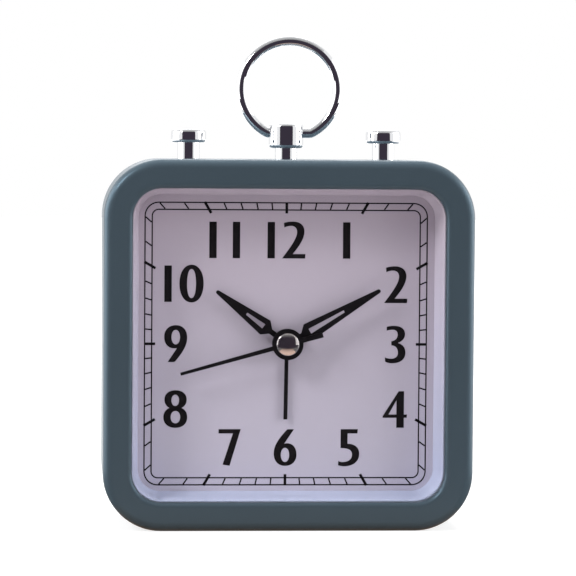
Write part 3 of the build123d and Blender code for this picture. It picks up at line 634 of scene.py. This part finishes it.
dialPrint = {
    "ink": {"colour": (22, 19, 22), "grain": 3600.0, "rough": (0.45, 0.6), "depth": 0.003, "shine": 0.12},
    "film": 0.03,  # ink thickness, mm
    "weld": 0.0005,  # points this close become one, mm
    "curveSteps": 10,
    "shift": (-0.15, -0.2),  # the print sits a touch off the axis, mm
    "numeralHeight": 8.42,
    "railOuter": (32.68, 3.15),  # half size and corner radius of a line's middle, mm
    "railInner": (31.04, 1.5),
    "railWidth": 0.30,
    "minuteWidth": 0.33,
    "hourWidth": 0.62,
    "hourLength": 2.6,
    "numerals": {  # middle of each numeral from the hands' axis, mm
        "12": (0.0, 24.05), "1": (13.95, 24.05), "2": (25.5, 13.8), "3": (25.45, -0.1), "4": (25.5, -15.2),
        "5": (14.8, -24.1), "6": (0.0, -24.0), "7": (-12.9, -24.05), "8": (-25.5, -15.2), "9": (-25.5, 0.0),
        "10": (-23.65, 13.9), "11": (-14.3, 24.05),
    },
    "gaps": {"10": 21.0, "11": 44.0, "12": 20.6},  # between two figures, in hundredths of their height
}
inkBlack = plainFinish("inkBlack", dialPrint["ink"])
dialLow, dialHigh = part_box("dial")
axisZ = (dialLow.z + dialHigh.z) / 2


def oval(x, y, wide, tall, square=0.58):  # four curves, fuller than an ellipse
    kx, ky = wide * square, tall * square
    return [(x + wide, y),
            (x + wide, y + ky, x + kx, y + tall, x, y + tall),
            (x - kx, y + tall, x - wide, y + ky, x - wide, y),
            (x - wide, y - ky, x - kx, y - tall, x, y - tall),
            (x + kx, y - tall, x + wide, y - ky, x + wide, y)]


# width and outlines in hundredths of the height: a pair is a straight run, six numbers are a curve
figures = {
    "0": (66.4, [oval(33.2, 50.5, 33.2, 51.9, 0.60), oval(33.2, 50.5, 12.2, 39.9, 0.62)]),
    "1": (20.3, [[(0, 0), (20.3, 0), (20.3, 100), (0, 100)]]),
    "2": (63.6, [[(0, 0), (62.9, 0), (63.6, 12.2), (28.7, 12.2), (38, 24, 60.5, 50, 60.5, 74),
                  (60.5, 91, 49, 101.4, 28.7, 101.4), (19, 101.4, 9, 99.5, 3.5, 97.2), (5.2, 85),
                  (10, 87.5, 16, 89.5, 23, 89.5), (34, 89.5, 40.2, 83, 40.2, 72),
                  (40.2, 55, 20, 28, 0, 1.2)]]),
    "3": (57.0, [[(4.5, 99.7), (11, 101.5, 18, 102.4, 24.5, 102.4), (44, 102.4, 55.6, 93.5, 55.6, 80),
                  (55.6, 68, 48, 60, 35.7, 55), (49, 51.5, 57, 42.5, 57, 28), (57, 9, 42, -1, 21, -1),
                  (13, -1, 6, 0.5, 0.7, 3.5), (0, 15.7), (5, 13, 11, 11.5, 17.5, 11.5),
                  (29, 11.5, 36, 18, 36, 28), (36, 41, 28.5, 48, 17.5, 48.3), (17.5, 60),
                  (28, 60.5, 35, 68, 35, 78), (35, 86.5, 30, 91.3, 21, 91.3),
                  (15, 91.3, 9, 90.3, 4.5, 88.8)]]),
    "4": (67.5, [[(43.7, 101), (0, 32.2), (0, 27.6), (37.8, 27.6), (37.8, 0), (58.7, 0), (58.7, 27.6),
                  (66.4, 27.6), (67.5, 36.7), (58.7, 36.7), (58.7, 101)],
                 [(37.8, 75.9), (37.8, 36.7), (16.1, 36.7)]]),
    "5": (58.7, [[(6.6, 101.7), (54.2, 101.7), (53.1, 89.9), (25.9, 89.9), (25.9, 61.5),
                  (46, 61.5, 58.7, 50.5, 58.7, 33.6), (58.7, 12, 41, -1, 17.5, -1),
                  (11, -1, 5, 0, 0, 2.1), (0.7, 14),
                  (4, 12, 8, 10.8, 12, 10.8), (28, 10.8, 38.5, 18, 38.5, 31.1),
                  (38.5, 44, 29, 49.3, 6.6, 49.3)]]),
    "6": (62.9, [[(55.6, 100.3), (37.4, 100.3), (14, 76, 0, 56, 0, 34), (0, 12, 12.5, -1, 31.1, -1),
                  (50, -1, 62.9, 11, 62.9, 29.5), (62.9, 49, 53, 61.5, 37, 61.5),
                  (33.5, 61.5, 31, 61, 28.7, 60.2)],
                 oval(31.1, 29.4, 11.5, 19.6)]),
    "7": (61.2, [[(0, 101), (61.2, 101), (30.8, 0), (11.5, 3.1), (39.5, 89.2), (0, 89.2)]]),
    "8": (65.7, [[(33.2, 103), (52, 103, 64, 93, 64, 77.6), (64, 66, 58.5, 58.5, 49.7, 54.5),
                  (60, 50, 65.7, 41, 65.7, 28.7), (65.7, 11, 53, -0.7, 33.2, -0.7),
                  (13, -0.7, 0, 11, 0, 28.7),
                  (0, 41, 6, 50, 16.8, 54.5), (8, 58.5, 2.8, 66, 2.8, 77.6),
                  (2.8, 93, 14.5, 103, 33.2, 103)],
                 oval(32.5, 75.2, 10.5, 15.4), oval(33.2, 29.0, 13.1, 17.0)]),
    "9": (63.3, [[(9.8, 0), (29, 0), (50, 25, 63.3, 44, 63.3, 67.5), (63.3, 88.5, 51, 101.4, 31.8, 101.4),
                  (12.5, 101.4, 0, 88.5, 0, 69.5), (0, 50, 11, 37.5, 27, 37.5),
                  (30, 37.5, 33, 38, 35.3, 38.8)],
                 oval(31.8, 68.5, 11.7, 19.9)]),
    "O": (78.0, [oval(39, 50, 39, 51), oval(39, 50, 22, 35)]),
    "N": (70.0, [[(0, 0), (16, 0), (16, 66), (54, 0), (70, 0), (70, 100), (54, 100),
                  (54, 34), (16, 100), (0, 100)]]),
    "F": (52.0, [[(0, 0), (17, 0), (17, 42), (46, 42), (46, 57), (17, 57), (17, 85), (52, 85),
                  (52, 100), (0, 100)]]),
}


def addContour(curve, contour, shift, scale):
    steps = contour[1:]
    closed = len(steps[-1]) == 6 and tuple(steps[-1][4:]) == tuple(contour[0])
    ends = [contour[0]] + [s[-2:] for s in (steps[:-1] if closed else steps)]
    spline = curve.splines.new("BEZIER")
    spline.bezier_points.add(len(ends) - 1)
    spline.use_cyclic_u = True

    def spot(x, y):
        return ((x + shift) * scale, y * scale, 0)

    for point, end in zip(spline.bezier_points, ends):
        point.handle_left_type = point.handle_right_type = "FREE"
        point.co = point.handle_left = point.handle_right = spot(*end)
    for i, step in enumerate(steps + ([] if closed else [contour[0]])):
        if len(step) == 6:
            spline.bezier_points[i].handle_right = spot(*step[:2])
            spline.bezier_points[(i + 1) % len(ends)].handle_left = spot(*step[2:4])


def printPiece(name, mesh, ink):
    tidy = bmesh.new()
    tidy.from_mesh(mesh)
    bmesh.ops.remove_doubles(tidy, verts=tidy.verts, dist=dialPrint["weld"] * mm)
    tidy.to_mesh(mesh)
    tidy.free()
    mesh.materials.clear()
    mesh.materials.append(ink)
    piece = bpy.data.objects.new(name, mesh)
    bpy.context.scene.collection.objects.link(piece)
    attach(piece, "case")


def printOnDial(name, mesh):  # from a drawing in x and y to the dial's front
    x, z = dialPrint["shift"]
    place = (x * mm, dialLow.y - dialPrint["film"] * mm / 2, axisZ + z * mm)
    mesh.transform(Matrix.Translation(place) @ Matrix.Rotation(math.pi / 2, 4, "X"))
    printPiece(name, mesh, inkBlack)


def drawText(text, place, height, gap):
    curve = bpy.data.curves.new("figures", "CURVE")
    curve.dimensions = "2D"
    curve.fill_mode = "BOTH"
    curve.resolution_u = dialPrint["curveSteps"]
    curve.extrude = dialPrint["film"] * mm / 2
    width = sum(figures[c][0] for c in text) + gap * (len(text) - 1)
    scale = height * mm / 100
    shift = -width / 2
    for c in text:
        for contour in figures[c][1]:
            addContour(curve, contour, shift, scale)
        shift += figures[c][0] + gap
    drawn = bpy.data.objects.new("figures", curve)
    bpy.context.scene.collection.objects.link(drawn)
    mesh = bpy.data.meshes.new_from_object(drawn.evaluated_get(bpy.context.evaluated_depsgraph_get()))
    bpy.data.objects.remove(drawn)
    mesh.transform(Matrix.Translation((place[0] * mm, (place[1] - height / 2) * mm, 0)))
    return mesh


def roundedSquare(half, radius, steps=10):
    points = []
    for quarter in range(4):
        middle = math.pi / 4 + quarter * math.pi / 2
        cx = math.copysign(half - radius, math.cos(middle))
        cy = math.copysign(half - radius, math.sin(middle))
        for step in range(steps + 1):
            turn = (quarter + step / steps) * math.pi / 2
            points.append((cx + radius * math.cos(turn), cy + radius * math.sin(turn)))
    return points


def filmMesh(name, loops):  # closed thin plates, each an outline or a band between two outlines
    film = dialPrint["film"] * mm / 2
    drawing = bmesh.new()
    for outer, inner in loops:
        rows = [[drawing.verts.new((x * mm, y * mm, z)) for x, y in ring] for z in (film, -film)
                for ring in ([outer] if inner is None else [outer, inner])]
        count = len(outer)
        if inner is None:
            drawing.faces.new(rows[0])
            drawing.faces.new(rows[1][::-1])
            walls = ((rows[1], rows[0]),)
        else:
            front, frontIn, rear, rearIn = rows
            walls = ((frontIn, front), (rear, rearIn), (rear, front), (frontIn, rearIn))
        for a, b in walls:
            for i in range(count):
                j = (i + 1) % count
                drawing.faces.new((a[i], a[j], b[j], b[i]))
    bmesh.ops.recalc_face_normals(drawing, faces=drawing.faces)
    mesh = bpy.data.meshes.new(name)
    drawing.to_mesh(mesh)
    drawing.free()
    return mesh


def mark(minute, near, far, width):  # a short bar across the track, on a line from the axis
    turn = math.radians(6 * minute)
    along = (math.sin(turn), math.cos(turn))
    across = (along[1] * width / 2, -along[0] * width / 2)
    reach = 1 / max(abs(along[0]), abs(along[1]))
    corners = []
    for end, side in ((near, -1), (near, 1), (far, 1), (far, -1)):
        corners.append(tuple(a * end * reach + c * side for a, c in zip(along, across)))
    return corners, None


def printTrack():
    line = dialPrint["railWidth"] / 2
    for name, key in (("dial_rail_outer", "railOuter"), ("dial_rail_inner", "railInner")):
        half, radius = dialPrint[key]
        band = roundedSquare(half + line, radius + line), roundedSquare(half - line, radius - line)
        printOnDial(name, filmMesh(name, [band]))
    near, far = dialPrint["railInner"][0] + line, dialPrint["railOuter"][0] - line
    minutes = [mark(m, near, far, dialPrint["minuteWidth"]) for m in range(60) if m % 5]
    printOnDial("dial_minute_marks", filmMesh("dial_minute_marks", minutes))
    far = dialPrint["railOuter"][0] + line
    hours = [mark(m, far - dialPrint["hourLength"], far, dialPrint["hourWidth"]) for m in range(0, 60, 5)]
    printOnDial("dial_hour_marks", filmMesh("dial_hour_marks", hours))


for text, place in dialPrint["numerals"].items():
    mesh = drawText(text, place, dialPrint["numeralHeight"], dialPrint["gaps"].get(text, 0.0))
    printOnDial("dial_numeral_" + text, mesh)
printTrack()
print("dial printed")


# marks on the rear cover

coverMarks = {
    "ink": {"colour": (176, 184, 190), "grain": 3600.0, "rough": (0.50, 0.62), "depth": 0.003, "shine": 0.3},
    "arrow": (8.5, 0.28, 0.95, 138.0, 52.0),  # radius, half width, half head, first and last angle
    "headTurn": 14.0,  # degrees that the arrow's head takes up
    "signDrop": 11.0,  # small sign below a knob, mm
    "letters": (1.9, 16.0),  # height in mm, gap in hundredths
    "letterLift": 6.4,  # from the middle of the lever's slot, mm
    "clock": (1.9, 1.5),  # outer and inner radius
    "clockHands": [(-0.16, -0.16), (0.95, -0.16), (0.95, 0.16), (0.16, 0.16), (0.16, 1.2), (-0.16, 1.2)],
    "bell": [(-1.9, -1.1), (1.9, -1.1), (1.3, -0.4), (1.15, 0.7), (0.85, 1.3), (0.3, 1.7), (-0.3, 1.7),
             (-0.85, 1.3), (-1.15, 0.7), (-1.3, -0.4)],
    "clapper": [(-0.5, -1.4), (0.5, -1.4), (0.32, -1.85), (-0.32, -1.85)],
}
inkPale = plainFinish("inkPale", coverMarks["ink"])
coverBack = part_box("rear_cover")[1].y


def spotBehind(name):  # a node's middle in mm, seen from behind, from the hands' axis
    low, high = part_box(name)
    return -(low.x + high.x) / 2 / mm, ((low.z + high.z) / 2 - axisZ) / mm


def printOnCover(name, mesh):
    place = Matrix.Translation((0, coverBack + dialPrint["film"] * mm / 2, axisZ))
    mesh.transform(place @ Matrix.Rotation(math.pi, 4, "Z") @ Matrix.Rotation(math.pi / 2, 4, "X"))
    printPiece(name, mesh, inkPale)


def ringPoints(x, y, radius, first=0.0, last=360.0, steps=36):
    count = steps + (last - first != 360.0)  # a full round doesn't repeat its first point
    turns = [math.radians(first + (last - first) * i / steps) for i in range(count)]
    return [(x + radius * math.cos(t), y + radius * math.sin(t)) for t in turns]


def moved(points, x, y):
    return [(x + px, y + py) for px, py in points]


def turnArrow(x, y):
    radius, half, head, first, last = coverMarks["arrow"]
    tip = ringPoints(x, y, radius, last - coverMarks["headTurn"], last, 1)[:1]
    wide = ringPoints(x, y, radius + head, last, first, 1)[:1]
    narrow = ringPoints(x, y, radius - head, last, first, 1)[:1]
    upper = ringPoints(x, y, radius + half, first, last)
    lower = ringPoints(x, y, radius - half, last, first)
    return upper + wide + tip + narrow + lower, None


def markCover():
    x, y = spotBehind("time_set_knob")
    drop = y - coverMarks["signDrop"]
    outer, inner = (ringPoints(x, drop, r) for r in coverMarks["clock"])
    sign = [turnArrow(x, y), (outer, inner), (moved(coverMarks["clockHands"], x, drop), None)]
    printOnCover("cover_time_marks", filmMesh("cover_time_marks", sign))
    x, y = spotBehind("alarm_set_knob")
    drop = y - coverMarks["signDrop"]
    sign = [turnArrow(x, y)] + [(moved(coverMarks[k], x, drop), None) for k in ("bell", "clapper")]
    printOnCover("cover_alarm_marks", filmMesh("cover_alarm_marks", sign))
    x, y = spotBehind("alarm_switch_housing")
    for text, side in (("ON", 1), ("OFF", -1)):
        mesh = drawText(text, (x, y + side * coverMarks["letterLift"]), *coverMarks["letters"])
        printOnCover("switch_mark_" + text.lower(), mesh)


markCover()
print("cover marked")
